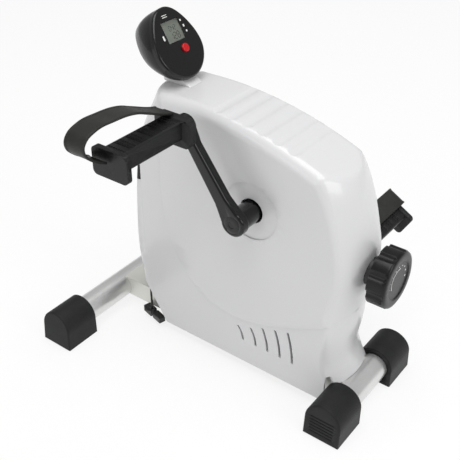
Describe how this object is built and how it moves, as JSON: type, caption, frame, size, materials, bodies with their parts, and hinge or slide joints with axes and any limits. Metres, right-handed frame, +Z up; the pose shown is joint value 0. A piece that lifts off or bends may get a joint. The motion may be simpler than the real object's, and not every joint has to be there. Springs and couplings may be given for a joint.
{
  "type": "pedal exerciser",
  "caption": "Magnetic pedal exerciser: flat moulded casing on a low steel frame, cranks with strapped pedals, a tension dial and a small tilted display.",
  "frame": {"origin": "on the floor, under the middle of the whole machine's box; the casing's mid-plane is at y = +12.95 mm, because the open left strap reaches further out than the right one", "axes": "+X towards the person who pedals and out of the tension dial, +Y towards the right pedal, +Z up"},
  "size_m": [0.4542, 0.4454, 0.4606],
  "materials": {
    "satin_silver": "satin",
    "frame_paint": "satin",
    "foot_rubber": "matte",
    "bearing_steel": "satin",
    "zinc_steel": "satin",
    "cast_iron": "machined",
    "magnet": "plated",
    "black_nylon": "moulded",
    "belt_rubber": "matte",
    "crank_paint": "gloss",
    "pedal_plastic": "textured",
    "strap_rubber": "satin",
    "cable_jacket": "satin",
    "knob_plastic": "satin",
    "housing_plastic": "gloss",
    "grip_rubber": "matte",
    "console_plastic": "gloss",
    "window_clear": "clear",
    "display": "grey-green",
    "circuit_board": "solder mask",
    "button_red": "gloss",
    "cell_wrap": "printed foil"
  },
  "bodies": {
    "base": {"rear_foot_tube": "satin_silver", "front_foot_tube": "satin_silver", "main_beam": "frame_paint", "upright_post": "frame_paint", "crank_bearing_shell": "frame_paint", "flywheel_bracket": "frame_paint", "brake_pivot_stand": "frame_paint", "cable_stop": "frame_paint", "rear_left_foot_cap": "foot_rubber", "rear_right_foot_cap": "foot_rubber", "front_left_foot_cap": "foot_rubber", "front_right_foot_cap": "foot_rubber", "crank_bearings": "bearing_steel", "flywheel_axle": "bearing_steel", "flywheel_spacers": "bearing_steel", "brake_pivot_pin": "bearing_steel", "flywheel_axle_nuts": "zinc_steel", "housing_screws": "zinc_steel", "brake_return_spring": "zinc_steel", "brake_cable_wire": "zinc_steel", "tension_controller": "black_nylon", "speed_sensor": "black_nylon", "tension_collar": "black_nylon", "drive_belt": "belt_rubber", "brake_cable_sheath": "cable_jacket", "sensor_lead": "cable_jacket", "plug_lead": "cable_jacket", "left_housing": "housing_plastic", "right_housing": "housing_plastic", "console_neck": "housing_plastic", "left_grip_pad": "grip_rubber", "right_grip_pad": "grip_rubber", "console_front_cover": "console_plastic", "console_rear_cover": "console_plastic", "battery_door": "console_plastic", "display_window": "window_clear", "display_panel": "display", "console_board": "circuit_board", "console_cell": "cell_wrap"},
    "crankset": {"crank_axle": "bearing_steel", "drive_pulley": "black_nylon", "left_crank_arm": "crank_paint", "right_crank_arm": "crank_paint", "crank_bolts": "zinc_steel", "left_pedal_spindle": "bearing_steel", "right_pedal_spindle": "bearing_steel", "sensor_magnet": "magnet"},
    "flywheel_set": {"flywheel": "cast_iron", "flywheel_bearings": "bearing_steel", "flywheel_pulley": "black_nylon"},
    "brake_arm": {"magnet_bracket": "zinc_steel", "brake_magnets": "magnet"},
    "tension_control": {"tension_knob": "knob_plastic", "control_shaft": "black_nylon"},
    "left_pedal_set": {"left_pedal": "pedal_plastic", "left_pedal_strap": "strap_rubber"},
    "right_pedal_set": {"right_pedal": "pedal_plastic", "right_pedal_strap": "strap_rubber"},
    "mode_key": {"mode_button": "button_red"}
  },
  "joints": [
    {"name": "crank_spin", "type": "hinge", "parent": "base", "child": "crankset", "pos_m": [0.04965, 0.01295, 0.2605], "axis": [0, 1, 0], "continuous": true},
    {"name": "flywheel_spin", "type": "hinge", "parent": "base", "child": "flywheel_set", "pos_m": [-0.07235, 0.01295, 0.15], "axis": [0, 1, 0], "continuous": true},
    {"name": "left_pedal_spin", "type": "hinge", "parent": "crankset", "child": "left_pedal_set", "pos_m": [-0.02319, 0.01295, 0.36453], "axis": [0, 1, 0], "continuous": true},
    {"name": "right_pedal_spin", "type": "hinge", "parent": "crankset", "child": "right_pedal_set", "pos_m": [0.12249, 0.01295, 0.15647], "axis": [0, 1, 0], "continuous": true},
    {"name": "tension_knob_turn", "type": "hinge", "parent": "base", "child": "tension_control", "pos_m": [0.16765, 0.01295, 0.207], "axis": [1, 0, 0], "range_deg": [0, 300]},
    {"name": "brake_swing", "type": "hinge", "parent": "base", "child": "brake_arm", "pos_m": [0.00737, 0.01295, 0.1021], "axis": [0, 1, 0], "range_deg": [0, 5], "deforming": ["brake_return_spring", "brake_cable_wire"]},
    {"name": "mode_button_press", "type": "slide", "parent": "base", "child": "mode_key", "axis": [-0.848, 0, -0.5299], "range_m": [0, 0.0012], "stiffness_N_per_m": 600}
  ],
  "couplings": [
    {"joint": "flywheel_spin", "follows": "crank_spin", "ratio": 6.8182},
    {"joint": "brake_swing", "follows": "tension_knob_turn", "ratio": 0.016667}
  ]
}
